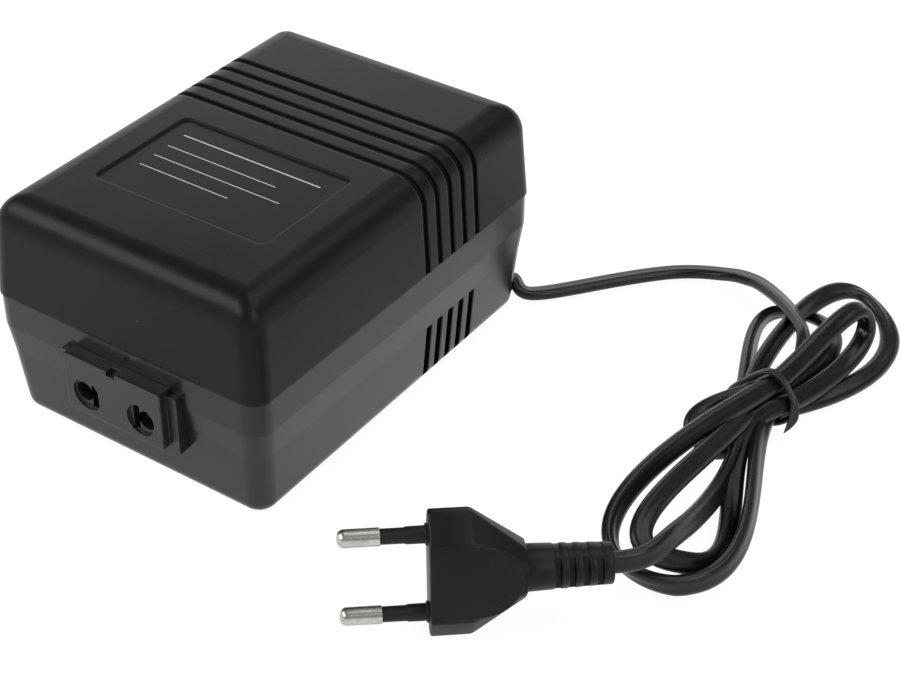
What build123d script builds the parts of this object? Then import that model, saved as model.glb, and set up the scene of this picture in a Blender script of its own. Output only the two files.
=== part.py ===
from build123d import *
import math
import os

# Travel voltage converter: a two-shell case with a transformer inside, a twin-aperture
# outlet on the front and a flat two-core mains cord that ends in a flat two-pin plug.
# The origin is the centre of the case's underside. +Z is up, -Y is the outlet's side,
# and the cord leaves at the rear right corner (+X, +Y). All sizes are in millimetres.

# Case
case_width = 80.4
case_length = 111.4
case_height = 60.0
parting_height = 34.5
band_height = 25.7
tier_height = 18.2
rim_proud = 0.3
upper_draft = 3.7
upper_tier_slope = 6.5
lower_tier_slope = 4.5
wall = 2.4
top_round = 7.5
corner_round = 5.0
bottom_round = 3.8
overrun = 1.0

# Tongue and rebate where the shells meet
tongue_height = 2.0
tongue_thickness = 1.0
fit_gap = 0.15

# Grooves over the top and down both sides of the upper shell
groove_count = 5
groove_width = 1.9
groove_depth = 1.2
groove_pitch = 5.25
first_groove_y = 8.7

# Recess for a label on the top
label_width = 50.6
label_length = 33.1
label_front_y = -33.3
label_depth = 0.5
label_corner = 2.0

# Vents through both long sides of the lower shell
vent_count = 5
vent_width = 2.4
vent_pitch = 4.6
first_vent_y = 11.0
vent_bottom = 2.0
vent_top_drop = 0.7

# Case screws and their posts
case_post_radius = 4.0
case_post_x = 30.6
case_post_y = 42.0
case_screw_radius = 1.5
case_screw_clearance = 0.2
case_screw_head_radius = 2.8
case_screw_head_height = 2.0
case_screw_seat = 20.0
case_screw_reach = 12.0
head_clearance = 0.5

# Outlet plate in the front wall
outlet_height = 20.0
panel_width = 29.2
panel_bottom = 14.1
panel_top = 29.6
panel_proud = 4.0
flange_width = 35.0
flange_bottom = 12.6
flange_top = 28.4
flange_proud = 1.8
neck_side_margin = 0.6
neck_depth = 5.0
panel_edge = 0.5
outlet_face = 3.2
notch_width = 2.6
notch_height = 1.1
dish_radius = 4.1
dish_depth = 0.8
dish_x = 8.2
pin_hole_radius = 2.5
pin_hole_x = 9.5
blade_slot_x = 6.35
blade_slot_width = 1.8
blade_slot_height = 7.0

# Contacts and the holder behind the outlet plate
leaf_thickness = 0.4
leaf_height = 6.0
leaf_gap = 0.3
contact_outer_x = 12.1
contact_middle_x = 7.45
contact_inner_x = 5.2
pocket_margin = 0.4
holder_depth = 9.6
holder_wall = 1.4
tail_radius = 1.2
tail_length = 4.5

# Transformer
core_width = 66.0
core_length = 55.0
core_stack = 32.0
core_leg = 11.0
core_front_y = -21.5
core_bottom = 13.4
core_post_radius = 4.6
core_screw_radius = 1.7
core_screw_clearance = 0.25
core_screw_head_radius = 3.2
core_screw_head_height = 2.4
core_screw_grip = 8.0
washer_radius = 4.0
washer_thickness = 0.8
bobbin_wall = 1.2
bobbin_gap = 0.2
bobbin_flange_reach = 10.2
common_winding_build = 4.6
series_winding_build = 3.2
tape_thickness = 0.5
lug_x_steps = 8.0
lug_count = 4
lug_width = 2.4
lug_thickness = 0.8
lug_length = 6.0
lug_height = 50.0

# Thermal fuse on the core's left leg
fuse_radius = 2.0
fuse_length = 11.0
fuse_sleeve_wall = 0.3
fuse_sleeve_overlap = 1.0
fuse_x = -25.5
fuse_y = 6.0

# Hook-up wires
wire_radius = 0.9
wire_bend = 3.2
wire_high = 51.0
wire_lane_x = 25.5
wire_end_gap = 0.02

# Cord and its way out of the case
cord_diameter = 3.9
cord_exit_x = 33.4
cord_exit_y = 53.4
cord_exit_height = 4.9
cord_exit_bearing = 40.0
bushing_radius = 3.4
bushing_flange_radius = 3.9
bushing_flange = 1.2
bushing_inside = 3.6
bushing_outside = 2.4
clamp_x = 13.0
clamp_y = 43.2
clamp_width = 6.0
clamp_length = 14.0
clamp_thickness = 2.2
clamp_screw_spacing = 10.4
clamp_post_radius = 2.2
clamp_screw_radius = 1.1
clamp_screw_head_radius = 1.8
clamp_screw_head_height = 1.4
clamp_screw_reach = 4.0

# The free cord lies on the surface that the case stands on
floor_level = 0.0
lead_level = floor_level + cord_diameter / 2
lead_points = [
    (41.6, 60.2, 3.1),
    (46.5, 65.6, lead_level),
    (53.6, 74.4, lead_level),
    (61.3, 82.3, lead_level),
    (70.0, 88.9, 2.3),
    (79.0, 89.8, 4.2),
    (89.2, 85.2, 7.6),
    (98.7, 79.9, 12.2),
    (107.0, 73.7, 15.2),
    (113.2, 67.8, 15.5),
    (116.0, 62.6, 16.0),
]
lead_approach = 6.0
hank_end_run = 7.8

# Hank: six loops that are drawn in at one waist, where seven strands pass the tie
waist_y = 43.7
tie_radius = 0.8
tie_gap = 0.25
tie_side_gap = 0.9
strand_places = [
    (113.0, 15.9),
    (114.6, 3.8),
    (113.0, 11.3),
    (123.6, 13.1),
    (118.4, 17.0),
    (120.7, 8.1),
    (109.0, 8.0),
]
strand_angles = [-14.3, -40.1, 43.5, -33.2, -16.7, 2.4, 22.1]
# Each loop: its tip's place, the tip's turn and tilt in degrees, and how far the curve follows
# the tip's and the strands' directions on the way out and on the way back
tip_places = [
    (107.2, 25.0, 4.7),
    (115.8, 99.8, 5.4),
    (127.3, -15.0, 5.6),
    (123.5, 80.7, 12.0),
    (127.7, -21.6, 4.7),
    (104.8, 85.6, 3.5),
]
tip_turns = [-12.9, -12.8, 51.5, -39.5, 35.2, -10.2]
tip_tilts = [-21.7, 17.6, -21.7, 73.8, 4.7, -14.7]
tip_reaches = [(10.0, 11.1), (16.1, 15.8), (41.1, 18.6), (8.9, 13.0), (7.0, 21.6), (24.4, 19.3)]
strand_reaches = [(5.4, 5.6), (35.6, 7.6), (13.7, 21.8), (8.3, 10.0), (87.7, 17.4), (5.0, 17.5)]
spans_per_half = 4

# Tail of the cord, from the hank up to the plug's neck
tail_points = [
    (116.4, 27.4, 6.8),
    (118.6, 20.0, 5.4),
    (119.9, 11.4, 5.4),
    (121.2, 2.0, 7.4),
    (122.9, -9.5, 11.6),
    (123.4, -19.5, 15.0),
    (122.9, -25.4, 15.2),
]
tail_approach = 5.0
tail_leave = 4.0

# Plug: it stands on its narrow side
plug_x = 86.9
plug_y = -58.2
plug_height = 14.6
plug_bearing = 39.9
plug_roll = 76.3
plug_half_width = 14.8
plug_half_flat = 9.3
plug_half_thickness = 5.6
plug_side = 1.2
plug_body_length = 8.9
plug_taper_end = 20.7
plug_neck_end = 39.0
plug_taper_half_width = 5.7
plug_taper_half_flat = 3.2
plug_taper_side = 2.4
neck_start_radius = 5.2
neck_end_radius = 4.5
neck_groove_count = 4
neck_groove_width = 1.3
neck_groove_pitch = 3.0
first_neck_groove = 27.1
neck_groove_half_width = 4.4
neck_core_radius = 3.0
plug_edge = 0.4
pin_length = 19.0
pin_radius = 2.0
pin_pitch = 18.6
pin_sleeve_length = 10.0
pin_sleeve_radius = 1.7
pin_core_radius = 1.5
pin_root = 7.0
tip_round_share = 0.8

# The share of the shorter of two runs that the arc between them may take up
reach_share = 0.45

# An edge this far from level, in degrees, is one of a form's upright corners
steep_edge = 20.0


def slope_inset(height, degrees):
    """How far a wall moves in over a height at a slope from upright."""
    return height * math.tan(math.radians(degrees))


def part_box(x0, x1, y0, y1, z0, z1):
    """A box between two corners."""
    block = Box(x1 - x0, y1 - y0, z1 - z0)
    return Pos((x0 + x1) / 2, (y0 + y1) / 2, (z0 + z1) / 2) * block


def post(x, y, z0, z1, radius):
    """An upright cylinder between two heights."""
    return Pos(x, y, (z0 + z1) / 2) * Cylinder(radius, z1 - z0)


def four_corners(half_x, front_y, rear_y):
    """The four places at plus and minus half_x, on a front and a rear line."""
    return [(sx * half_x, y) for sx in (-1, 1) for y in (front_y, rear_y)]


def upper_form(inset, bottom):
    """The upper shell's outline as a solid block, drawn in all round by an inset."""
    top = case_height - inset
    sections = []
    for z in (bottom, top):
        narrowing = 2 * (inset + slope_inset(z - parting_height, upper_draft))
        sections.append(Pos(0, 0, z) * Rectangle(case_width - narrowing, case_length - narrowing))
    block = loft(sections, ruled=True)
    block = fillet(block.faces().sort_by(Axis.Z)[-1].edges(), top_round - inset)
    steep = [e for e in block.edges() if abs(e.tangent_at(0.5).Z) > math.sin(math.radians(steep_edge))]
    return fillet(steep, corner_round - inset)


def lower_form(inset, top):
    """The lower shell's outline as a solid block, drawn in all round by an inset."""
    upper_tier_inset = slope_inset(band_height - tier_height, upper_tier_slope)
    lower_tier_inset = slope_inset(tier_height - inset, lower_tier_slope)
    steps = [
        (top, 0),
        (band_height, 0),
        (tier_height, upper_tier_inset),
        (inset, upper_tier_inset + lower_tier_inset),
    ]
    sections = []
    for z, moved_in in steps:
        narrowing = 2 * (inset + moved_in + rim_proud)
        sketch = RectangleRounded(case_width - narrowing, case_length - narrowing, corner_round - inset)
        sections.append(Pos(0, 0, z) * sketch)
    block = loft(sections, ruled=True)
    return fillet(block.faces().sort_by(Axis.Z)[0].edges(), bottom_round - inset)


def tongue_ring(inset, thickness, bottom, top):
    """A ring that follows the parting line, between two heights."""
    outer_cut = 2 * (inset + rim_proud)
    inner_cut = outer_cut + 2 * thickness
    outer = RectangleRounded(case_width - outer_cut, case_length - outer_cut, corner_round - inset)
    inner_round = max(corner_round - inset - thickness, thickness)
    inner = RectangleRounded(case_width - inner_cut, case_length - inner_cut, inner_round)
    return Pos(0, 0, bottom) * extrude(outer - inner, top - bottom)


tongue_inset = wall - tongue_thickness
screw_places = four_corners(case_post_x, -case_post_y, case_post_y)


def make_upper_shell():
    shell = upper_form(0, parting_height)
    groove_core = upper_form(groove_depth, parting_height - overrun)
    for i in range(groove_count):
        y = first_groove_y + i * groove_pitch
        slab = part_box(
            -case_width, case_width, y - groove_width / 2, y + groove_width / 2,
            parting_height - overrun, case_height + overrun,
        )
        shell -= slab - groove_core
    label = RectangleRounded(label_width, label_length, label_corner)
    label_centre = label_front_y + label_length / 2
    shell -= Pos(0, label_centre, case_height - label_depth) * extrude(label, label_depth + overrun)
    shell -= upper_form(wall, parting_height - overrun)
    rebate_inset = tongue_inset - fit_gap
    shell -= tongue_ring(
        rebate_inset, tongue_thickness + fit_gap + overrun,
        parting_height - overrun, parting_height + tongue_height + fit_gap,
    )
    posts = Part()
    for x, y in screw_places:
        posts += post(x, y, parting_height, case_height - wall, case_post_radius)
    shell += posts
    for x, y in screw_places:
        top = parting_height + case_screw_reach + head_clearance
        shell -= post(x, y, parting_height - overrun, top, case_screw_radius)
    return shell


def make_lower_shell():
    outer = lower_form(0, parting_height)
    shell = outer - lower_form(wall, parting_height + overrun)
    shell += tongue_ring(tongue_inset, tongue_thickness, parting_height - wall, parting_height + tongue_height)
    for x, y in screw_places:
        shell += post(x, y, wall / 2, parting_height, case_post_radius)
    for x, y in core_screw_places:
        shell += post(x, y, wall / 2, core_bottom, core_post_radius)
    for x, y in clamp_screw_places:
        shell += post(x, y, wall / 2, clamp_bottom, clamp_post_radius)
    shell = shell & (outer + tongue_ring(tongue_inset, tongue_thickness, parting_height, parting_height + tongue_height))
    for x, y in screw_places:
        shell -= post(x, y, -overrun, case_screw_seat, case_screw_head_radius + head_clearance)
        shell -= post(x, y, wall, parting_height + overrun, case_screw_radius + case_screw_clearance)
    for x, y in core_screw_places:
        shell -= post(x, y, core_bottom - core_screw_grip, core_bottom + overrun, core_screw_radius)
    for x, y in clamp_screw_places:
        shell -= post(x, y, clamp_bottom - clamp_screw_reach, clamp_bottom + overrun, clamp_screw_radius)
    vent_depth = wall + slope_inset(band_height, upper_tier_slope)
    for i in range(vent_count):
        y = first_vent_y + i * vent_pitch
        for side in (-1, 1):
            inner_x = side * (case_width / 2 - vent_depth)
            outer_x = side * (case_width / 2 + overrun)
            shell -= part_box(
                min(inner_x, outer_x), max(inner_x, outer_x),
                y - vent_width / 2, y + vent_width / 2, vent_bottom, tier_height - vent_top_drop,
            )
    shell -= part_box(
        -neck_half_width - fit_gap, neck_half_width + fit_gap,
        -case_length / 2 - overrun, -case_length / 2 + wall + neck_depth,
        neck_bottom - fit_gap, neck_top + fit_gap,
    )
    shell -= bushing_hole()
    return shell


# Places that follow from the sizes above
core_rear_y = core_front_y + core_length
core_middle_y = (core_front_y + core_rear_y) / 2
window_front_y = core_front_y + core_leg
window_rear_y = core_rear_y - core_leg
core_top = core_bottom + core_stack
core_middle_z = (core_bottom + core_top) / 2
core_screw_places = four_corners(
    (core_width - core_leg) / 2, core_front_y + core_leg / 2, core_rear_y - core_leg / 2
)
band_front_y = -(case_length / 2 - rim_proud)
panel_front_y = band_front_y - panel_proud
neck_half_width = panel_width / 2 - neck_side_margin
neck_bottom = panel_bottom + neck_side_margin
neck_top = flange_top - neck_side_margin
neck_back_y = band_front_y + neck_depth
clamp_bottom = cord_exit_height + cord_diameter / 2
clamp_screw_places = [(clamp_x, clamp_y + side * clamp_screw_spacing / 2) for side in (-1, 1)]

exit_turn = math.radians(cord_exit_bearing)
exit_direction = Vector(math.cos(exit_turn), math.sin(exit_turn), 0)
exit_point = Vector(cord_exit_x, cord_exit_y, cord_exit_height)
exit_end = exit_point + exit_direction * bushing_outside


def rod_between(start, end, radius):
    """A round rod from one point to another."""
    plane = Plane(origin=start, z_dir=end - start)
    return extrude(plane * Circle(radius), (end - start).length)


def bushing_hole():
    """The oblique hole for the bushing through the rear right corner, with its flange's seat."""
    inner = exit_point - exit_direction * bushing_inside
    end = exit_point + exit_direction * (bushing_outside + wall)
    seat = rod_between(inner - exit_direction * (bushing_flange + overrun), inner, bushing_flange_radius)
    return rod_between(inner, end, bushing_radius) + seat


def make_cord_bushing():
    inner = exit_point - exit_direction * bushing_inside
    sleeve = rod_between(inner, exit_end, bushing_radius)
    flange = rod_between(inner - exit_direction * bushing_flange, inner, bushing_flange_radius)
    bore_start = inner - exit_direction * (bushing_flange + overrun)
    return sleeve + flange - rod_between(bore_start, exit_end + exit_direction, cord_diameter / 2)


def make_case_screws():
    screws = Part()
    for x, y in screw_places:
        head_bottom = case_screw_seat - case_screw_head_height
        screws += post(x, y, head_bottom, case_screw_seat, case_screw_head_radius)
        screws += post(x, y, case_screw_seat, parting_height + case_screw_reach, case_screw_radius)
    return screws


def make_outlet_plate():
    panel = part_box(
        -panel_width / 2, panel_width / 2, panel_front_y, band_front_y, panel_bottom, panel_top
    )
    panel = fillet(panel.edges().filter_by(Axis.Y), panel_edge)
    panel = fillet(panel.faces().sort_by(Axis.Y)[0].edges(), panel_edge / 2)
    flange = part_box(
        -flange_width / 2, flange_width / 2, band_front_y - flange_proud, band_front_y + wall,
        flange_bottom, flange_top,
    )
    flange = fillet(flange.edges().filter_by(Axis.Y), panel_edge)
    neck = part_box(
        -neck_half_width, neck_half_width, band_front_y - flange_proud, neck_back_y,
        neck_bottom, neck_top,
    )
    plate = panel + flange - lower_form(0, parting_height + overrun) + neck
    plate -= part_box(
        -notch_width / 2, notch_width / 2, panel_front_y - overrun, band_front_y - flange_proud,
        panel_top - notch_height, panel_top + overrun,
    )
    facing = Plane(origin=(0, panel_front_y, outlet_height), x_dir=(1, 0, 0), z_dir=(0, -1, 0))
    pocket_depth = neck_back_y - panel_front_y - outlet_face
    for side in (-1, 1):
        plate -= facing * (Pos(side * dish_x, 0, -dish_depth / 2) * Cylinder(dish_radius, dish_depth))
        through = 2 * (outlet_face + overrun)
        plate -= facing * (Pos(side * pin_hole_x, 0, 0) * Cylinder(pin_hole_radius, through))
        plate -= facing * (Pos(side * blade_slot_x, 0, 0) * Box(blade_slot_width, blade_slot_height, through))
        plate -= contact_pocket(side, panel_front_y + outlet_face, panel_front_y + outlet_face + pocket_depth + overrun)
    return plate


def contact_pocket(side, front_y, rear_y):
    """The room that one contact sits in."""
    xs = sorted((side * (contact_inner_x - pocket_margin), side * (contact_outer_x + pocket_margin)))
    half = leaf_height / 2 + pocket_margin
    return part_box(xs[0], xs[1], front_y, rear_y, outlet_height - half, outlet_height + half)


def make_contact_holder():
    rear_y = neck_back_y + holder_depth
    block = part_box(-neck_half_width, neck_half_width, neck_back_y, rear_y, neck_bottom, neck_top)
    for side in (-1, 1):
        block -= contact_pocket(side, neck_back_y - overrun, rear_y - holder_wall)
        tail_start = Vector(side * pin_hole_x, rear_y - holder_wall - overrun, outlet_height)
        tail_end = tail_start + Vector(0, holder_wall + 2 * overrun, 0)
        block -= rod_between(tail_start, tail_end, tail_radius + fit_gap)
    return block


contact_back_y = neck_back_y + holder_depth - holder_wall
tail_end_y = contact_back_y + tail_length


def make_contact(side):
    """Three upright leaves on one back plate: a round pin and a flat blade each fit between two."""
    front_y = panel_front_y + outlet_face + leaf_gap
    z0 = outlet_height - leaf_height / 2
    z1 = outlet_height + leaf_height / 2
    xs = sorted((side * contact_inner_x, side * contact_outer_x))
    contact = part_box(xs[0], xs[1], contact_back_y - leaf_thickness, contact_back_y, z0, z1)
    for x in (contact_inner_x, contact_middle_x - leaf_thickness, contact_outer_x - leaf_thickness):
        leaf_xs = sorted((side * x, side * (x + leaf_thickness)))
        contact += part_box(leaf_xs[0], leaf_xs[1], front_y, contact_back_y, z0, z1)
    tail_start = Vector(side * pin_hole_x, contact_back_y - leaf_thickness / 2, outlet_height)
    contact += rod_between(tail_start, Vector(side * pin_hole_x, tail_end_y, outlet_height), tail_radius)
    return contact


def core_holes(places):
    holes = Part()
    for x, y in places:
        holes += post(x, y, core_bottom - overrun, core_top + overrun, core_screw_radius + core_screw_clearance)
    return holes


def make_core_e():
    half = core_width / 2
    block = part_box(-half, half, window_front_y, core_rear_y, core_bottom, core_top)
    for side in (-1, 1):
        xs = sorted((side * core_leg, side * (half - core_leg)))
        block -= part_box(
            xs[0], xs[1], window_front_y - overrun, window_rear_y,
            core_bottom - overrun, core_top + overrun,
        )
    return block - core_holes([p for p in core_screw_places if p[1] > core_middle_y])


def make_core_i():
    half = core_width / 2
    block = part_box(-half, half, core_front_y, window_front_y, core_bottom, core_top)
    return block - core_holes([p for p in core_screw_places if p[1] < core_middle_y])


def make_core_washers():
    washers = Part()
    for x, y in core_screw_places:
        ring = post(x, y, core_top, core_top + washer_thickness, washer_radius)
        ring -= post(x, y, core_top - overrun, core_top + 2 * washer_thickness, core_screw_radius + core_screw_clearance)
        washers += ring
    return washers


def make_core_screws():
    screws = Part()
    head_bottom = core_top + washer_thickness
    for x, y in core_screw_places:
        screws += post(x, y, core_bottom - core_screw_grip, head_bottom, core_screw_radius)
        head = post(x, y, head_bottom, head_bottom + core_screw_head_height, core_screw_head_radius)
        head -= part_box(
            x - core_screw_head_radius, x + core_screw_head_radius,
            y - washer_thickness / 2, y + washer_thickness / 2,
            head_bottom + core_screw_head_height / 2, head_bottom + core_screw_head_height + overrun,
        )
        screws += head
    return screws


bobbin_front_y = window_front_y + bobbin_gap
bobbin_rear_y = window_rear_y - bobbin_gap
leg_half_x = core_leg + bobbin_gap
leg_half_z = core_stack / 2 + bobbin_gap


def sleeve_round_leg(inner_build, thickness, front_y, rear_y):
    """A square sleeve round the core's middle leg."""
    inner_x = leg_half_x + inner_build
    inner_z = leg_half_z + inner_build
    outer_x = inner_x + thickness
    outer_z = inner_z + thickness
    outer = part_box(
        -outer_x, outer_x, front_y, rear_y, core_middle_z - outer_z, core_middle_z + outer_z
    )
    outer = fillet(outer.edges().filter_by(Axis.Y), thickness / 2)
    return outer - part_box(
        -inner_x, inner_x, front_y - overrun, rear_y + overrun,
        core_middle_z - inner_z, core_middle_z + inner_z,
    )


def make_bobbin():
    bobbin = sleeve_round_leg(0, bobbin_wall, bobbin_front_y, bobbin_rear_y)
    for y in (bobbin_front_y, bobbin_rear_y - bobbin_wall):
        bobbin += sleeve_round_leg(0, bobbin_flange_reach, y, y + bobbin_wall)
    return bobbin


winding_front_y = bobbin_front_y + bobbin_wall
winding_rear_y = bobbin_rear_y - bobbin_wall


def make_bobbin_lugs():
    lugs = Part()
    for x in lug_places:
        lugs += part_box(
            x - lug_width / 2, x + lug_width / 2, bobbin_rear_y, bobbin_rear_y + lug_length,
            lug_height - lug_thickness / 2, lug_height + lug_thickness / 2,
        )
    return lugs


lug_places = [(i - (lug_count - 1) / 2) * lug_x_steps for i in range(lug_count)]
lug_end_y = bobbin_rear_y + lug_length
fuse_z = core_top + fuse_radius + fuse_sleeve_wall


def make_thermal_fuse():
    start = Vector(fuse_x, fuse_y - fuse_length / 2, fuse_z)
    return rod_between(start, start + Vector(0, fuse_length, 0), fuse_radius)


def make_fuse_sleeve():
    half = fuse_length / 2 + fuse_sleeve_overlap
    start = Vector(fuse_x, fuse_y - half, fuse_z)
    end = Vector(fuse_x, fuse_y + half, fuse_z)
    sleeve = rod_between(start, end, fuse_radius + fuse_sleeve_wall)
    reach = Vector(0, overrun, 0)
    return sleeve - rod_between(start - reach, end + reach, fuse_radius)


def rounded_path(points, largest):
    """Straight runs joined by arcs: each arc is as large as its two runs allow, up to a limit."""
    places = [Vector(*p) for p in points]
    radii = []
    for before, here, after in zip(places, places[1:], places[2:]):
        turn = math.radians((here - before).get_angle(after - here))
        shorter = min((here - before).length, (after - here).length)
        radii.append(min(largest, reach_share * shorter / math.tan(turn / 2)))
    return FilletPolyline(*places, radius=radii), radii



def tube(points, radius, largest=math.inf):
    """A round tube along a path, with the radii of its arcs."""
    path, radii = rounded_path(points, largest)
    start = Plane(origin=path @ 0, z_dir=path % 0)
    return sweep(start * Circle(radius), path=path), radii, path


cord_inner_end = (clamp_x - clamp_width, clamp_y, cord_exit_height)


def make_cord_inside():
    elbow = exit_point - exit_direction * ((cord_exit_y - clamp_y) / exit_direction.Y)
    return tube([tuple(exit_end), tuple(elbow), cord_inner_end], cord_diameter / 2)[0]


def make_cord_clamp():
    bar = part_box(
        clamp_x - clamp_width / 2, clamp_x + clamp_width / 2,
        clamp_y - clamp_length / 2, clamp_y + clamp_length / 2,
        clamp_bottom, clamp_bottom + clamp_thickness,
    )
    bar = fillet(bar.edges().filter_by(Axis.Z), clamp_width / 3)
    for x, y in clamp_screw_places:
        bar -= post(x, y, clamp_bottom - overrun, clamp_bottom + clamp_thickness + overrun, clamp_screw_radius + fit_gap)
    return bar


def make_clamp_screws():
    screws = Part()
    head_bottom = clamp_bottom + clamp_thickness
    for x, y in clamp_screw_places:
        screws += post(x, y, clamp_bottom - clamp_screw_reach, head_bottom, clamp_screw_radius)
        screws += post(x, y, head_bottom, head_bottom + clamp_screw_head_height, clamp_screw_head_radius)
    return screws


def make_wire(points):
    return tube(points, wire_radius, wire_bend)[0]


def input_wire(lug, side):
    """From the cut end of the cord up to one of the two inner lugs."""
    x, y, z = cord_inner_end
    y += side * (wire_radius + wire_end_gap)
    rise_x = lug_places[lug]
    rear_y = lug_end_y + 3 * wire_bend
    return make_wire([
        (x, y, z),
        (rise_x, y, z),
        (rise_x, rear_y, z + 2 * wire_bend),
        (rise_x, rear_y, lug_height),
        (rise_x, lug_end_y, lug_height),
    ])


def output_wire_end(side):
    """The run from the lane beside the windings down to a contact's tail."""
    lane = side * wire_lane_x
    return [
        (lane, core_front_y - 2 * wire_bend / 3, wire_high),
        (side * pin_hole_x, core_front_y - 3 * wire_bend, outlet_height + 2 * wire_bend),
        (side * pin_hole_x, tail_end_y + 2 * wire_bend, outlet_height),
        (side * pin_hole_x, tail_end_y, outlet_height),
    ]


def output_wire_start(lug, side):
    """The run from an outer lug into the lane beside the windings."""
    return [
        (lug_places[lug], lug_end_y, lug_height),
        (lug_places[lug], lug_end_y + 2 * wire_bend, lug_height),
        (side * wire_lane_x, lug_end_y + wire_bend, wire_high),
    ]


def make_output_neutral():
    return make_wire(output_wire_start(-1, 1) + output_wire_end(1))


def make_output_live():
    rear = fuse_y + fuse_length / 2
    return make_wire(output_wire_start(0, -1) + [
        (fuse_x, rear + 3 * wire_bend, wire_high),
        (fuse_x, rear + wire_bend, fuse_z),
        (fuse_x, rear, fuse_z),
    ])


def make_fuse_outlet_wire():
    front = fuse_y - fuse_length / 2
    return make_wire([
        (fuse_x, front, fuse_z),
        (fuse_x, front - wire_bend, fuse_z),
        (fuse_x, front - 3 * wire_bend, wire_high),
    ] + output_wire_end(-1))


# Hank
def strand_place(i):
    """Where strand i lies as it passes the tie."""
    x, z = strand_places[i]
    return Vector(x, waist_y, z)


def strand_direction(i):
    """The heading of strand i at the tie: even strands run down the hank, odd ones up."""
    turn = math.radians(90 + strand_angles[i])
    heading = Vector(math.cos(turn), math.sin(turn), 0)
    return heading if i % 2 else heading * -1


def loop_halves(i):
    """A loop as two cubic curves, from the tie to its tip and from its tip to the tie."""
    out_tip, back_tip = tip_reaches[i]
    out_stem, back_stem = strand_reaches[i]
    bearing = math.radians(tip_turns[i] + (180 if i % 2 else 0))
    tilt = math.radians(tip_tilts[i])
    flat = math.cos(tilt)
    along = Vector(math.cos(bearing) * flat, math.sin(bearing) * flat, math.sin(tilt))
    tip = Vector(*tip_places[i])
    start, end = strand_place(i), strand_place(i + 1)
    out = (start, start + strand_direction(i) * out_stem, tip - along * out_tip, tip)
    back = (tip, tip + along * back_tip, end - strand_direction(i + 1) * back_stem, end)
    return out, back


def curve_point(curve, t):
    a, b, c, d = curve
    s = 1 - t
    return a * s**3 + b * (3 * s * s * t) + c * (3 * s * t * t) + d * t**3


def curve_heading(curve, t):
    a, b, c, d = curve
    s = 1 - t
    return ((b - a) * (s * s) + (c - b) * (2 * s * t) + (d - c) * (t * t)).normalized()


def hank_stations():
    """Points and headings along the whole hank, a straight run at each end."""
    first, last = strand_direction(0), strand_direction(len(tip_places))
    start = strand_place(0) - first * hank_end_run
    stations = [(start, first), (strand_place(0), first)]
    for i in range(len(tip_places)):
        for curve in loop_halves(i):
            for step in range(1, spans_per_half + 1):
                t = step / spans_per_half
                stations.append((curve_point(curve, t), curve_heading(curve, t)))
    end = strand_place(len(tip_places))
    stations.append((end + last * hank_end_run, last))
    return stations


def biarc(p0, t0, p1, t1):
    """Two arcs that leave p0 along t0, meet smoothly and reach p1 along t1."""
    chord = p1 - p0
    a = 2 * (1 - t0.dot(t1))
    b = 2 * chord.dot(t0 + t1)
    c = -chord.dot(chord)
    straight = 1e-9
    if a < straight:
        d = -c / b
    else:
        d = (-b + math.sqrt(b * b - 4 * a * c)) / (2 * a)
    q0, q1 = p0 + t0 * d, p1 - t1 * d
    middle = (q0 + q1) * 0.5
    heading = (q1 - q0).normalized()
    edges = []
    for start, along, end in ((p0, t0, middle), (middle, heading, p1)):
        if along.cross((end - start).normalized()).length < math.sqrt(straight):
            edges.append(Line(start, end))
        else:
            edges.append(TangentArc(start, end, tangent=along))
    return edges


def make_cord_hank():
    stations = hank_stations()
    edges = []
    for (p0, t0), (p1, t1) in zip(stations, stations[1:]):
        edges += biarc(p0, t0, p1, t1)
    path = Wire(edges)
    start = Plane(origin=stations[0][0], z_dir=stations[0][1])
    solid = sweep(start * Circle(cord_diameter / 2), path=path)
    section = math.pi * cord_diameter**2 / 4
    print("hank length", round(path.length, 1), "volume share", round(solid.volume / (section * path.length), 4))
    tightest = min(e.radius for e in path.edges().filter_by(GeomType.CIRCLE))
    print("hank's tightest radius", round(tightest, 2), "lowest", round(solid.bounding_box().min.Z, 3))
    print("hank's least gap to itself", round(least_self_gap(path), 2))
    return solid


def least_self_gap(path):
    """The least clear distance between stretches of the hank that aren't next to each other."""
    step = cord_diameter / 4
    count = int(path.length / step)
    points = [path @ (i / count) for i in range(count + 1)]
    places = [(p.X, p.Y, p.Z) for p in points]
    apart = int(3 * cord_diameter / step)
    least = math.inf
    for i, a in enumerate(places):
        for b in places[i + apart:]:
            d = abs(a[0] - b[0])
            if d < least and abs(a[1] - b[1]) < least:
                least = min(least, math.dist(a, b))
    return least - cord_diameter


def cord_tube(name, points):
    solid, radii, path = tube(points, cord_diameter / 2)
    section = math.pi * cord_diameter**2 / 4
    print(name, "length", round(path.length, 1), "volume share", round(solid.volume / (section * path.length), 4))
    print(name, "radii", [round(r, 1) for r in radii], "lowest", round(solid.bounding_box().min.Z, 3))
    return solid


def make_cord_lead():
    stations = hank_stations()
    end, heading = stations[0]
    approach = end - heading * lead_approach
    first = exit_end + exit_direction * cord_diameter
    return cord_tube("lead", [tuple(exit_end), tuple(first)] + lead_points + [tuple(approach), tuple(end)])


plug_turn = math.radians(plug_bearing)
plug_axis = Vector(math.cos(plug_turn), math.sin(plug_turn), 0)
plug_side_way = Vector(-math.sin(plug_turn), math.cos(plug_turn), 0)
plug_up_way = Vector(0, 0, 1)
roll = math.radians(plug_roll)
plug_normal = plug_side_way * -math.sin(roll) + plug_up_way * math.cos(roll)
plug_plane = Plane(
    origin=(plug_x, plug_y, plug_height), x_dir=tuple(plug_axis), z_dir=tuple(plug_normal)
)
neck_point = Vector(plug_x, plug_y, plug_height) + plug_axis * plug_neck_end


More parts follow.
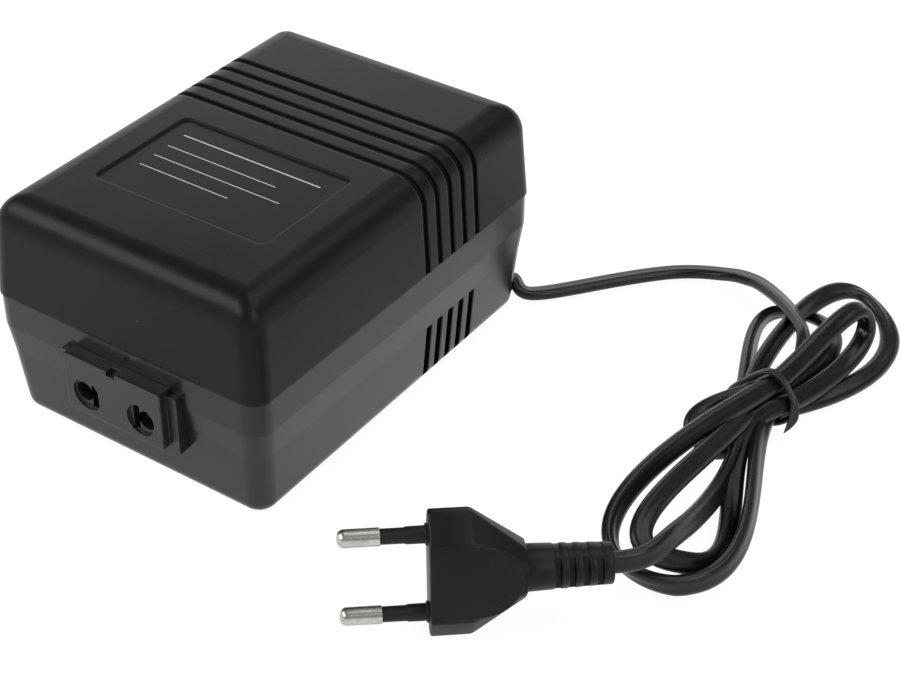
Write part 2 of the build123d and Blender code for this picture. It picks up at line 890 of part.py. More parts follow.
def make_cord_tail():
    start, heading = hank_stations()[-1]
    approach = neck_point + plug_axis * tail_approach
    leave = start + heading * tail_leave
    points = [tuple(start), tuple(leave)] + tail_points + [tuple(approach), tuple(neck_point)]
    return cord_tube("tail", points)


def make_cord_tie():
    """A twist tie: one loop round the strands and a twisted end beside them."""
    margin = cord_diameter / 2 + tie_gap + tie_radius
    xs = [x for x, z in strand_places]
    zs = [z for x, z in strand_places]
    left, right = min(xs) - margin - tie_side_gap, max(xs) + margin + tie_side_gap
    bottom, top = min(zs) - margin, max(zs) + margin
    middle_z = (top + bottom) / 2
    loop = Plane(origin=((left + right) / 2, waist_y, middle_z), x_dir=(1, 0, 0), z_dir=(0, -1, 0))
    outline = loop * RectangleRounded(right - left, top - bottom, margin)
    path = outline.wire()
    ring = sweep(Plane(origin=path @ 0, z_dir=path % 0) * Circle(tie_radius), path=path)
    twist = [
        (right, waist_y, middle_z),
        (right + 3 * tie_radius, waist_y - 3 * tie_radius, middle_z),
        (right + 4 * tie_radius, waist_y - 10 * tie_radius, 2 * tie_radius),
    ]
    return ring + tube(twist, tie_radius)[0]


# Plug
def plug_section(along, half_flat, half_thickness, half_width, side):
    """One eight-sided section across the plug."""
    outline = [
        (half_flat, half_thickness), (half_width, side), (half_width, -side),
        (half_flat, -half_thickness), (-half_flat, -half_thickness),
        (-half_width, -side), (-half_width, side), (-half_flat, half_thickness),
    ]
    across = Plane(origin=(along, 0, 0), x_dir=(0, 1, 0), z_dir=(1, 0, 0))
    return across * make_face(Polyline(*outline, close=True))


def make_plug_body():
    front = plug_section(0, plug_half_flat, plug_half_thickness, plug_half_width, plug_side)
    shoulder = plug_section(
        plug_body_length, plug_half_flat, plug_half_thickness, plug_half_width, plug_side
    )
    throat = plug_section(
        plug_taper_end, plug_taper_half_flat, plug_half_thickness - plug_edge,
        plug_taper_half_width, plug_taper_side,
    )
    body = loft([front, shoulder, throat], ruled=True)
    inside = plug_taper_end - plug_body_length / 4
    neck = loft([
        Plane(origin=(inside, 0, 0), z_dir=(1, 0, 0)) * Circle(neck_start_radius),
        Plane(origin=(plug_neck_end, 0, 0), z_dir=(1, 0, 0)) * Circle(neck_end_radius),
    ])
    for i in range(neck_groove_count):
        x = first_neck_groove + i * neck_groove_pitch
        for face in (-1, 1):
            zs = sorted((face * neck_core_radius, face * (neck_start_radius + overrun)))
            neck -= part_box(
                x - neck_groove_width / 2, x + neck_groove_width / 2,
                -neck_groove_half_width, neck_groove_half_width, zs[0], zs[1],
            )
    plug = body + neck
    for side in (-1, 1):
        root = Vector(-overrun, side * pin_pitch / 2, 0)
        plug -= rod_between(root, Vector(pin_root, side * pin_pitch / 2, 0), pin_core_radius)
    return plug_plane * plug


def make_plug_pins():
    pins = Part()
    metal_start = pin_length - pin_sleeve_length
    for side in (-1, 1):
        y = side * pin_pitch / 2
        tip = rod_between(Vector(-pin_length, y, 0), Vector(-pin_length + metal_start, y, 0), pin_radius)
        tip = fillet(tip.edges().sort_by(Axis.X)[0], pin_radius * tip_round_share)
        core = rod_between(Vector(-pin_sleeve_length, y, 0), Vector(pin_root, y, 0), pin_core_radius)
        pins += tip + core
    return plug_plane * pins



def make_pin_sleeves():
    sleeves = Part()
    for side in (-1, 1):
        y = side * pin_pitch / 2
        tube_outer = rod_between(Vector(-pin_sleeve_length, y, 0), Vector(0, y, 0), pin_sleeve_radius)
        tube_inner = rod_between(
            Vector(-pin_sleeve_length - overrun, y, 0), Vector(overrun, y, 0), pin_core_radius
        )
        sleeves += tube_outer - tube_inner
    return plug_plane * sleeves


def winding(inner_build, thickness):
    return sleeve_round_leg(inner_build, thickness, winding_front_y, winding_rear_y)


series_start = bobbin_wall + common_winding_build
tape_start = series_start + series_winding_build

nodes = {
    "upper_shell": make_upper_shell,
    "lower_shell": make_lower_shell,
    "case_screws": make_case_screws,
    "outlet_plate": make_outlet_plate,
    "outlet_contact_holder": make_contact_holder,
    "outlet_contact_left": lambda: make_contact(-1),
    "outlet_contact_right": lambda: make_contact(1),
    "core_e_stack": make_core_e,
    "core_i_stack": make_core_i,
    "core_washers": make_core_washers,
    "core_screws": make_core_screws,
    "bobbin": make_bobbin,
    "common_winding": lambda: winding(bobbin_wall, common_winding_build),
    "series_winding": lambda: winding(series_start, series_winding_build),
    "winding_tape": lambda: winding(tape_start, tape_thickness),
    "bobbin_lugs": make_bobbin_lugs,
    "thermal_fuse": make_thermal_fuse,
    "fuse_sleeve": make_fuse_sleeve,
    "wire_input_live": lambda: input_wire(1, 1),
    "wire_input_neutral": lambda: input_wire(2, -1),
    "wire_output_live": make_output_live,
    "wire_fuse_outlet": make_fuse_outlet_wire,
    "wire_output_neutral": make_output_neutral,
    "cord_bushing": make_cord_bushing,
    "cord_inside": make_cord_inside,
    "cord_clamp": make_cord_clamp,
    "clamp_screws": make_clamp_screws,
    "cord_lead": make_cord_lead,
    "cord_hank": make_cord_hank,
    "cord_tie": make_cord_tie,
    "cord_tail": make_cord_tail,
    "plug_body": make_plug_body,
    "plug_pins": make_plug_pins,
    "pin_sleeves": make_pin_sleeves,
}

os.makedirs("parts", exist_ok=True)
for name, make in nodes.items():
    export_step(make(), f"parts/{name}.step")
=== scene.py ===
import math

import bmesh
import bpy
from mathutils import Matrix, Quaternion, Vector


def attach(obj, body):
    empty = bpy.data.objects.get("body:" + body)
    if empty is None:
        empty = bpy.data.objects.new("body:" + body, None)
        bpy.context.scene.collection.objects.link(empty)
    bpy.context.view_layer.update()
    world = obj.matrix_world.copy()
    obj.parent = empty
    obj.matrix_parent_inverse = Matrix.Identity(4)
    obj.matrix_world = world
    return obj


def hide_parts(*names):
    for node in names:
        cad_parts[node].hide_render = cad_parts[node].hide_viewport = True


# A travel voltage converter: a black two-shell case with an outlet on its front, and a flat
# twin cord that lies beside it in a tied hank and ends in a flat two-pin plug.
# Lengths are millimetres and angles degrees, unless a comment says otherwise. Every mesh is
# in metres.
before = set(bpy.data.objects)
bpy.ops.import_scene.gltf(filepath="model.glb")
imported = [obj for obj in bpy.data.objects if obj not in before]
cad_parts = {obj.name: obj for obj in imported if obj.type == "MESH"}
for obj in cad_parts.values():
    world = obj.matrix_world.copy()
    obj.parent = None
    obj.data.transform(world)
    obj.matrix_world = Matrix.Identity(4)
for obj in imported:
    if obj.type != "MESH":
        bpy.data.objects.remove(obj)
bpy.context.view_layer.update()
scene = bpy.context.scene
scene.view_settings.view_transform = "Standard"
MM = 0.001
BODY = "root"


# Shader graphs


class Value:
    """A number, colour or vector that varies over a surface; numbers take ordinary arithmetic."""

    def __init__(self, graph, socket):
        self.graph = graph
        self.socket = socket

    def math(self, operation, *others):
        inputs = dict(enumerate((self, *others)))
        return self.graph.node("ShaderNodeMath", {"operation": operation}, inputs)

    def __add__(self, other):
        return self.math("ADD", other)

    def __mul__(self, other):
        return self.math("MULTIPLY", other)

    def __sub__(self, other):
        return self.math("SUBTRACT", other)

    def __rsub__(self, other):
        return self * -1 + other

    __radd__ = __add__
    __rmul__ = __mul__

    def below(self, limit):
        return self.math("LESS_THAN", limit)

    def between(self, low, high):
        """0 under low, 1 over high, and a smooth rise from one to the other."""
        inputs = {"Value": self, "From Min": low, "From Max": high}
        return self.graph.node("ShaderNodeMapRange", {"interpolation_type": "SMOOTHSTEP"}, inputs)

    def wave(self, pitch):
        """A wave from -1 to 1 that repeats with a pitch."""
        return (self * (2 * math.pi / pitch)).math("SINE")


class Graph:
    """The nodes of a material or of the world."""

    def __init__(self, tree):
        self.tree = tree

    def node(self, kind, settings=None, inputs=None, output=0):
        """One node: its settings, then its sockets' values or links. Gives one of its outputs."""
        made = self.tree.nodes.new(kind)
        for name, setting in (settings or {}).items():
            setattr(made, name, setting)
        for name, value in (inputs or {}).items():
            self.feed(made.inputs[name], value)
        return Value(self, made.outputs[output])

    def feed(self, socket, value):
        """Links a value to a socket, or sets the socket to a plain number or colour."""
        if isinstance(value, Value):
            self.tree.links.new(socket, value.socket)
        else:
            socket.default_value = value

    def blend(self, share, first, second):
        """The second colour over the first, by a share."""
        return self.node("ShaderNodeMix", {"data_type": "RGBA"}, {0: share, 6: first, 7: second}, 2)


class Finish(Graph):
    """A material under way. The shader's own sockets take what is the same all over."""

    def __init__(self, name, **steady):
        self.material = bpy.data.materials.new(name)
        self.material.use_nodes = True
        super().__init__(self.material.node_tree)
        self.shader = self.tree.nodes["Principled BSDF"]
        for socket, value in steady.items():
            self.shader.inputs[socket.replace("_", " ")].default_value = value
        self.place = self.node("ShaderNodeTexCoord", output="Object")

    def along(self, axis):
        """The place along one axis."""
        return self.node("ShaderNodeSeparateXYZ", None, {0: self.place}, axis) * (1 / MM)

    def mottle(self, size, detail=2.0, stretch=(1, 1, 1)):
        """Soft uneven patches of a size, from 0 to 1."""
        spread = self.node("ShaderNodeMapping", None, {"Vector": self.place, "Scale": stretch})
        inputs = {"Vector": spread, "Scale": 1 / (size * MM), "Detail": detail}
        return self.node("ShaderNodeTexNoise", None, inputs)

    def specks(self, spacing, size, share):
        """Small round specks, in a share of the cells that are that far apart."""
        inputs = {"Vector": self.place, "Scale": 1 / (spacing * MM)}
        near = self.node("ShaderNodeTexVoronoi", None, inputs, "Distance").below(size / spacing)
        pick = self.node("ShaderNodeTexVoronoi", None, inputs, "Color")
        chance = self.node("ShaderNodeSeparateColor", None, {0: pick})
        return near * chance.below(share)

    def soft_edges(self, radius):
        """The surface's direction as if its edges were rounded."""
        return self.node("ShaderNodeBevel", {"samples": 6}, {"Radius": radius * MM})

    def edge_share(self, rounded):
        """How near an edge a point lies: 0 on a flat face, and up to 1 on an edge."""
        flat = self.node("ShaderNodeNewGeometry", output="Normal")
        same = self.node(
            "ShaderNodeVectorMath", {"operation": "DOT_PRODUCT"}, {0: rounded, 1: flat}, "Value"
        )
        return (1 - same).between(low=0.02, high=0.3)

    def relief(self, height, depth, under=None):
        """Raises the surface by a height from 0 to 1, times a depth."""
        inputs = {"Height": height, "Distance": depth * MM}
        if under:
            inputs["Normal"] = under
        return self.node("ShaderNodeBump", None, inputs)

    def finish(self, colour, roughness, normal=None):
        self.feed(self.shader.inputs["Base Color"], colour)
        self.feed(self.shader.inputs["Roughness"], roughness)
        if normal:
            self.feed(self.shader.inputs["Normal"], normal)
        return self.material


def grey(level):
    return (level, level, level, 1)


# Camera, floor and light: the floor's reach, the camera's clip and the lamps are in metres
camera_sensor = 36
camera_clip = (0.01, 50)
floor_reach = 6
# To the camera the floor is mostly a plain white glow, and the rest of it takes the shadows.
# Gloss mirrors that glow in full behind one line across the floor, and least in front of another
floor_glow = 1.1
floor_white = 0.85
mirror_rear = -10
mirror_front = -100
mirror_least = 0.15


def set_camera(place, azimuth, elevation, roll, lens, shift):
    """A camera that looks at the case from the front right, above it."""
    data = bpy.data.cameras.new("camera")
    data.lens = lens
    data.sensor_width = camera_sensor
    data.shift_x, data.shift_y = shift
    data.clip_start, data.clip_end = camera_clip
    camera = bpy.data.objects.new("camera", data)
    scene.collection.objects.link(camera)
    a, e = math.radians(azimuth), math.radians(elevation)
    back = Vector((math.sin(a) * math.cos(e), -math.cos(a) * math.cos(e), math.sin(e)))
    turn = (-back).to_track_quat("-Z", "Y") @ Quaternion((0, 0, 1), math.radians(roll))
    camera.rotation_mode = "QUATERNION"
    camera.rotation_quaternion = turn
    camera.location = Vector(place) * MM
    scene.camera = camera


def lay_floor():
    """A wide pale sheet under the object, which shows white and keeps a soft shadow."""
    shape = bmesh.new()
    bmesh.ops.create_grid(shape, x_segments=1, y_segments=1, size=floor_reach)
    floor = make_piece("floor", shape, smooth=False)
    paper = Finish("floor_paper")
    tone = paper.blend(paper.mottle(size=400), grey(0.90), grey(0.92))
    paper.finish(tone, roughness=0.9)
    seen = paper.node("ShaderNodeLightPath", output="Is Camera Ray")
    mirrored = paper.node("ShaderNodeLightPath", output="Is Glossy Ray")
    through = paper.node("ShaderNodeLightPath", output="Is Transmission Ray")
    fade = paper.along("Y").between(mirror_front, mirror_rear) * (1 - mirror_least) + mirror_least
    for ray in (mirrored * fade, through):
        seen = seen.math("MAXIMUM", ray)
    white = paper.node("ShaderNodeEmission", None, {"Color": grey(1), "Strength": floor_glow})
    lit = Value(paper, paper.shader.outputs[0])
    both = paper.node("ShaderNodeMixShader", None, {0: seen * floor_white, 1: lit, 2: white})
    paper.feed(paper.tree.nodes["Material Output"].inputs["Surface"], both)
    floor.data.materials.append(paper.material)


def light_room():
    """A room that is pale near the floor and dimmer above."""
    world = bpy.data.worlds.new("room")
    world.use_nodes = True
    scene.world = world
    room = Graph(world.node_tree)
    way = room.node("ShaderNodeTexCoord", output="Generated")
    height = room.node("ShaderNodeSeparateXYZ", None, {0: way}, "Z")
    tone = room.blend(height.between(low=0.05, high=0.35), grey(0.95), grey(0.22))
    room.feed(world.node_tree.nodes["Background"].inputs["Color"], tone)


def hang_softbox(name, towards, distance, size, power, colour):
    """A flat lamp at a distance from the object in a direction, turned to face it."""
    data = bpy.data.lights.new(name, "AREA")
    data.shape = "RECTANGLE"
    data.size, data.size_y = size
    data.energy = power
    data.color = colour
    lamp = bpy.data.objects.new(name, data)
    scene.collection.objects.link(lamp)
    away = Vector(towards).normalized()
    lamp.location = away * distance
    lamp.rotation_mode = "QUATERNION"
    lamp.rotation_quaternion = (-away).to_track_quat("-Z", "Y")


# Making pieces: how near two vertices lie that are one, on shapes in millimetres and on tubes in
# metres, and how finely round forms are divided
merge_gap = 1e-5
tube_merge_gap = 1e-6
spin_steps = 40
fine_steps = 48


def make_piece(name, shape, smooth=True):
    """Turns a bmesh into an object at the origin, shaded smooth or flat."""
    bmesh.ops.recalc_face_normals(shape, faces=shape.faces)
    mesh = bpy.data.meshes.new(name)
    shape.to_mesh(mesh)
    shape.free()
    if smooth:
        mesh.shade_smooth()
    else:
        mesh.shade_flat()
    piece = bpy.data.objects.new(name, mesh)
    scene.collection.objects.link(piece)
    return piece


def fit_piece(piece, material, slot, *nodes):
    """Puts a new piece on the body, with its material, and hides the nodes it stands for. Its slot
    is not used.
    """
    piece.data.materials.clear()
    piece.data.materials.append(material)
    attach(piece, BODY)
    if nodes:
        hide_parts(*nodes)
    return piece


def sharpen(piece, angle):
    """Keeps edges crisp past an angle and shades the rest smooth."""
    piece.data.set_sharp_from_angle(angle=math.radians(angle))


def bevel(shape, edges, offset, segments=3):
    bmesh.ops.bevel(
        shape, geom=edges, offset=offset, offset_type="OFFSET", segments=segments,
        profile=0.5, affect="EDGES", material=-1, clamp_overlap=True,
    )


def add_block(shape, low, high, edge=0):
    """A block between two corners, with its edges taken off if that is asked."""
    made = bmesh.ops.create_cube(shape, size=1)["verts"]
    low, high = Vector(low), Vector(high)
    bmesh.ops.scale(shape, verts=made, vec=high - low)
    bmesh.ops.translate(shape, verts=made, vec=(low + high) / 2)
    if edge:
        bevel(shape, list({e for v in made for e in v.link_edges}), edge, segments=1)


def add_disc(shape):
    """The vertices of a filled circle of radius 1 in the XY plane."""
    made = bmesh.ops.create_circle(shape, cap_ends=True, segments=fine_steps, radius=1)
    return made["verts"]


def draw_out(shape, disc, way):
    """Extrudes a disc along a way. Gives the vertices of its far end."""
    faces = list({f for v in disc for f in v.link_faces})
    grown = bmesh.ops.extrude_face_region(shape, geom=faces)["geom"]
    far = [v for v in grown if isinstance(v, bmesh.types.BMVert)]
    bmesh.ops.translate(shape, verts=far, vec=way)
    return far


def spin_profile(shape, profile, steps=spin_steps):
    """Spins a profile of (along, radius) places round the X axis. Gives the new vertices."""
    before = set(shape.verts)
    places = [shape.verts.new((along, radius, 0)) for along, radius in profile]
    edges = [shape.edges.new(pair) for pair in zip(places, places[1:])]
    bmesh.ops.spin(
        shape, geom=places + edges, cent=(0, 0, 0), axis=(1, 0, 0),
        angle=2 * math.pi, steps=steps, use_merge=True,
    )
    new = [v for v in shape.verts if v not in before]
    bmesh.ops.remove_doubles(shape, verts=new, dist=merge_gap)
    return [v for v in shape.verts if v not in before]


# A flat cord's outline: its points, how full its sides and faces are, where 1 is an ellipse and
# less is squarer, and the width of the dip between its cores as a share of the half width. A
# groove is the dip's depth as a share of the thickness
outline_steps = 28
side_fullness = 0.85
face_fullness = 0.7
dip_width = 0.22

# Cord: the solids' route, drawn in tight at the tie
cord_width = 5.1
cord_thickness = 3.0
cord_groove = 0.2
exit_bearing = 40.0
exit_end = Vector((35.24, 54.94, 4.9))
exit_run = 0.6
lead_points = [
    (37.0, 55.0, 2.7), (39.2, 55.0, 1.8), (42.8, 57.7, 1.8), (48.9, 64.9, 2.0),
    (52.9, 70.3, 2.0), (57.3, 75.9, 2.0), (61.8, 81.3, 2.0), (66.7, 86.2, 2.1),
    (72.5, 89.5, 2.6), (79.1, 90.9, 3.6), (83.0, 90.6, 4.9), (87.0, 89.4, 6.0),
    (91.0, 87.9, 7.0), (99.9, 81.1, 9.5), (107.0, 74.1, 11.5), (112.4, 67.6, 12.7),
    (114.4, 63.2, 12.8),
]
lead_approach = 6.0
# The hank's strands side by side at the tie: (x, z) places, and headings from the Y axis
waist_y = 43.7
hank_end_run = 7.8
strand_places = [
    (113.4, 10.5), (114.0, 3.5), (111.2, 8.3), (118.4, 7.9),
    (115.6, 12.6), (116.2, 5.7), (109.1, 6.1),
]
strand_angles = [-14.3, -40.1, 43.5, -33.2, -16.7, 2.4, 22.1]
# Its loops: each one's tip, the tip's heading and tilt, and how long the loop's line keeps to the
# tip's heading and to the strands', on its way out and back
tip_places = [
    (107.2, 25.0, 4.7), (115.8, 99.8, 5.4), (127.3, -15.0, 5.6),
    (123.5, 80.7, 12.0), (127.7, -21.6, 4.7), (104.8, 85.6, 4.2),
]
tip_turns = [-12.9, -12.8, 51.5, -39.5, 35.2, -10.2]
tip_tilts = [-21.7, 17.6, -21.7, 73.8, 4.7, -13.0]
tip_reaches = [(10.0, 11.1), (16.1, 15.8), (41.1, 18.6), (8.9, 13.0), (7.0, 21.6), (24.4, 19.3)]
strand_reaches = [(5.4, 5.6), (35.6, 7.6), (13.7, 21.8), (8.3, 10.0), (87.7, 17.4), (5.0, 17.5)]
points_per_half = 12
tail_points = [
    (116.4, 27.4, 6.8), (118.6, 20.0, 5.4), (119.9, 11.4, 5.4), (121.2, 2.0, 7.4),
    (122.9, -9.5, 11.6), (123.4, -19.5, 15.0), (122.9, -25.4, 15.2),
]
tail_leave = 4.0
tail_approach = 5.0
# How far the flat cord is turned about its own line: at points of the lead, at each strand,
# quarter and tip of the hank by turns, on the tail and at the plug
lead_marks = [0, 4, 7, 10, 13, 16, 18]
tail_mark = 4
cord_turns = [
    -9, 4, 5, 3, -4, -40, -83,
    -44, -45, -10, -36, -28, -73, -30, -111, -82, -80, -41, -98, -68, -77, -143, -193,
    -196, -213, -272, -282, -306, -300, -337, -264, -230, -239, -266,
]

# Plug: it stands on its narrow side, and its own X axis runs from its front into the neck
plug_place = Vector((86.9, -58.2, 14.6))
plug_bearing = 39.9
plug_roll = 76.3
neck_end = 39.0


def level_way(bearing):
    a = math.radians(bearing)
    return Vector((math.cos(a), math.sin(a), 0))


def strand_place(i):
    x, z = strand_places[i]
    return Vector((x, waist_y, z))


def strand_way(i):
    """The heading of strand i at the tie: even strands run down the hank, odd ones up."""
    return level_way(90 + strand_angles[i]) * (1 if i % 2 else -1)


def loop_points(i):
    """One loop, from the tie out to its tip and back, without its first point."""
    out_tip, back_tip = tip_reaches[i]
    out_stem, back_stem = strand_reaches[i]
    tilt = math.radians(tip_tilts[i])
    along = level_way(tip_turns[i] + (180 if i % 2 else 0)) * math.cos(tilt)
    along.z = math.sin(tilt)
    tip = Vector(tip_places[i])
    start, end = strand_place(i), strand_place(i + 1)
    out = (start, start + strand_way(i) * out_stem, tip - along * out_tip, tip)
    back = (tip, tip + along * back_tip, end - strand_way(i + 1) * back_stem, end)
    points = []
    for a, b, c, d in (out, back):
        for step in range(1, points_per_half + 1):
            t = step / points_per_half
            s = 1 - t
            points.append(a * s**3 + b * (3 * s * s * t) + c * (3 * s * t * t) + d * t**3)
    return points


def cord_route():
    """The route's points, and how far the cord is turned at each."""
    hank_start = strand_place(0) - strand_way(0) * hank_end_run
    lead = [exit_end, exit_end + level_way(exit_bearing) * exit_run]
    lead += [Vector(p) for p in lead_points]
    lead += [hank_start - strand_way(0) * lead_approach, hank_start]
    hank = [strand_place(0)]
    for i in range(len(tip_places)):
        hank += loop_points(i)
    last = strand_way(len(tip_places))
    hank_end = hank[-1] + last * hank_end_run
    axis = level_way(plug_bearing)
    neck = plug_place + axis * neck_end
    tail = [hank_end, hank_end + last * tail_leave] + [Vector(p) for p in tail_points]
    tail += [neck + axis * tail_approach, neck]
    quarter = points_per_half // 2
    marks = lead_marks + [len(lead) + quarter * k for k in range(4 * len(tip_places) + 1)]
    marks += [len(lead + hank) + tail_mark, len(lead + hank + tail) - 1]
    turns = [cord_turns[0]]
    for start, end, first, second in zip(marks, marks[1:], cord_turns, cord_turns[1:]):
        turns += [first + (second - first) * k / (end - start) for k in range(1, end - start + 1)]
    return lead + hank + tail, turns


def flat_profile(width, thickness, groove):
    """A flat twin cord's outline as a closed curve: two rounded cores and a dip between."""
    data = bpy.data.curves.new("flat_profile", "CURVE")
    data.dimensions = "2D"
    spline = data.splines.new("POLY")
    spline.points.add(outline_steps - 1)
    for k, point in enumerate(spline.points):
        a = 2 * math.pi * (k + 0.5) / outline_steps
        x = math.copysign(abs(math.cos(a)) ** side_fullness, math.cos(a))
        dip = 1 - groove * math.exp(-((x / dip_width) ** 2))
        y = math.copysign(abs(math.sin(a)) ** face_fullness, math.sin(a)) * dip
        point.co = (x * width / 2 * MM, y * thickness / 2 * MM, 0, 1)
    spline.use_cyclic_u = True
    profile = bpy.data.objects.new("flat_profile", data)
    scene.collection.objects.link(profile)
    return profile


def smooth_line(name, points, turns=None, widths=None, closed=False, fineness=4):
    """A smooth NURBS curve with those points as its control points."""
    data = bpy.data.curves.new(name, "CURVE")
    data.dimensions = "3D"
    data.twist_mode = "MINIMUM"
    data.resolution_u = fineness
    spline = data.splines.new("NURBS")
    spline.points.add(len(points) - 1)
    for k, place in enumerate(points):
        spline.points[k].co = (*(Vector(place) * MM), 1)
        if turns:
            spline.points[k].tilt = math.radians(turns[k])
        if widths:
            spline.points[k].radius = widths[k]
    spline.order_u = 3
    spline.use_endpoint_u = not closed
    spline.use_cyclic_u = closed
    line = bpy.data.objects.new(name, data)
    scene.collection.objects.link(line)
    return line


def tube_on(line, profile):
    """The bmesh of a profile drawn along a curve, and the points of the curve's own line."""
    bare = bpy.data.meshes.new_from_object(line)
    path = [v.co.copy() for v in bare.vertices]
    bpy.data.meshes.remove(bare)
    line.data.bevel_mode = "OBJECT"
    line.data.bevel_object = profile
    line.data.use_fill_caps = True
    bpy.context.view_layer.update()
    evaluated = line.evaluated_get(bpy.context.evaluated_depsgraph_get())
    mesh = bpy.data.meshes.new_from_object(evaluated)
    shape = bmesh.new()
    shape.from_mesh(mesh)
    bpy.data.meshes.remove(mesh)
    bmesh.ops.remove_doubles(shape, verts=shape.verts, dist=tube_merge_gap)
    for spent in (line, profile):
        bpy.data.objects.remove(spent)
    return shape, path


def lay_cord(material):
    points, turns = cord_route()
    line = smooth_line("cord_line", points, turns)
    shape, path = tube_on(line, flat_profile(cord_width, cord_thickness, cord_groove))
    cord = make_piece("mains_cord", shape)
    sharpen(cord, angle=50)
    fit_piece(cord, material, "cord_pvc", "cord_lead", "cord_hank", "cord_tail")
    return cord, path


# Strain relief: its (along, radius) profile from inside the case to the outside, where 0 is
# a little behind the cord's exit
relief_profile = [
    (-19.5, 0), (-19.5, 2.7), (-19.2, 2.9), (-6.2, 3.7), (-5.8, 4.3), (-4.2, 4.3),
    (-3.8, 3.5), (-3.2, 3.36), (0.9, 3.36), (1.5, 3.25), (1.9, 2.95), (1.9, 0),
]
relief_setback = 2.4


def fit_strain_relief(material):
    """The tapered rubber sleeve on the cord, held in the case's wall."""
    shape = bmesh.new()
    spin_profile(shape, relief_profile)
    start = exit_end - level_way(exit_bearing) * relief_setback
    place = Matrix.Translation(start) @ Matrix.Rotation(math.radians(exit_bearing), 4, "Z")
    bmesh.ops.transform(shape, matrix=Matrix.Scale(MM, 4) @ place, verts=shape.verts)
    relief = make_piece("strain_relief", shape)
    sharpen(relief, angle=40)
    fit_piece(relief, material, "bushing_rubber", "cord_bushing")


# Wire tie: a flat covered wire drawn round the strands, whose cut end points down beside them
tie_ring = [
    (105.4, 7.4), (107.6, 10.2), (110.0, 12.7), (112.3, 15.0), (115.0, 16.6), (118.0, 15.0),
    (120.2, 11.6), (122.2, 8.0), (121.4, 4.4), (118.6, 1.9), (115.2, 0.7), (111.2, 1.5),
    (107.6, 3.2), (105.2, 5.2),
]
tie_slope = 0.16
tie_width = 2.1
tie_thickness = 1.1
tie_groove = 0.15
tie_end = [(121.2, 45.0, 9.8), (122.4, 44.2, 7.2), (122.8, 41.9, 5.4), (122.3, 39.0, 4.1)]
tie_end_widths = [0.9, 1.25, 1.05, 0.1]


def flat_wire(name, points, **how):
    """The bmesh of a stretch of the tie."""
    line = smooth_line(name, points, fineness=6, **how)
    return tube_on(line, flat_profile(tie_width, tie_thickness, tie_groove))[0]


def wind_tie(material):
    middle = sum(x for x, z in tie_ring) / len(tie_ring)
    ring = [(x, waist_y + tie_slope * (x - middle), z) for x, z in tie_ring]
    shape = flat_wire("tie_ring", ring, closed=True)
    end = flat_wire("tie_end", tie_end, widths=tie_end_widths)
    part = bpy.data.meshes.new("tie_end")
    end.to_mesh(part)
    end.free()
    shape.from_mesh(part)
    bpy.data.meshes.remove(part)
    tie = make_piece("wire_tie", shape)
    sharpen(tie, angle=50)
    return fit_piece(tie, material, "tie_plastic", "cord_tie")


# The plug's outline at its front, its shoulder and its throat: the distance along it, then the
# halves of the flat's width, the thickness, the whole width and the side's height
plug_sections = [
    (0.0, 9.3, 5.6, 14.8, 1.2), (8.9, 9.3, 5.6, 14.8, 1.2), (20.7, 3.2, 4.9, 5.7, 2.4),
]
plug_edge = 0.55
# Its pads: the flats of the two broad faces, squared towards the pins and round towards the cord
pad_middle = 9.2
pad_squared_length = 8.0
pad_arc_length = 10.6
pad_half_width = 8.7
pad_fullness = (0.25, 0.35)    # of the squared end, along and across, where less is squarer
pad_base = 4.4
pad_rise = 1.28
pad_edge = 0.3
# The grip ribs on the pads, each shorter than the one before it
rib_count = 6
rib_start = 12.6
rib_pitch = 1.0
rib_half_length = 6.2
rib_shortening = 0.176
rib_half_width = 0.16
rib_level = 5.6
rib_below = 0.1
rib_above = 0.2
rib_edge = 0.08
# Its neck: tapering rings with grooves between them, on a core with two flat faces
neck_start = 19.0
neck_radius = 5.2
neck_taper = 0.7
neck_grooves = [27.1, 30.1, 33.1, 36.1]
neck_groove_width = 1.3
ring_edge = 0.25
ring_ease = 0.075
core_start = 20.0
core_gauge = 27.0      # the place on the neck whose radius the core takes
core_depth = 0.12      # how far the core's round sides lie under that
core_half_height = 3.0
core_length = 18.7
pip_radius = 0.45
pip_place = (30.9, 4.68, 0.6)
# The pins' sleeves: an (along, radius) profile, as far from the plug's middle as the pins are
sleeve_profile = [
    (-10.1, 1.45), (-10.1, 1.62), (-9.9, 1.7), (-4.9, 1.72), (-4.5, 1.9), (-0.7, 1.93),
    (-0.5, 2.35), (0.3, 2.4), (0.3, 1.45),
]
pin_offset = 9.3


def plug_matrix():
    """From the plug's own axes, in millimetres, to its place in metres."""
    axis = level_way(plug_bearing)
    side = level_way(plug_bearing + 90)
    roll = math.radians(plug_roll)
    normal = side * -math.sin(roll) + Vector((0, 0, math.cos(roll)))
    across = normal.cross(axis)
    turn = Matrix((axis, across, normal)).transposed().to_4x4()
    return Matrix.Scale(MM, 4) @ Matrix.Translation(plug_place) @ turn


def plug_outline(section):
    along, flat, thick, wide, side = section
    half = [(flat, thick), (wide, side), (wide, -side), (flat, -thick)]
    return [Vector((along, y, z)) for y, z in half + [(-y, -z) for y, z in half]]


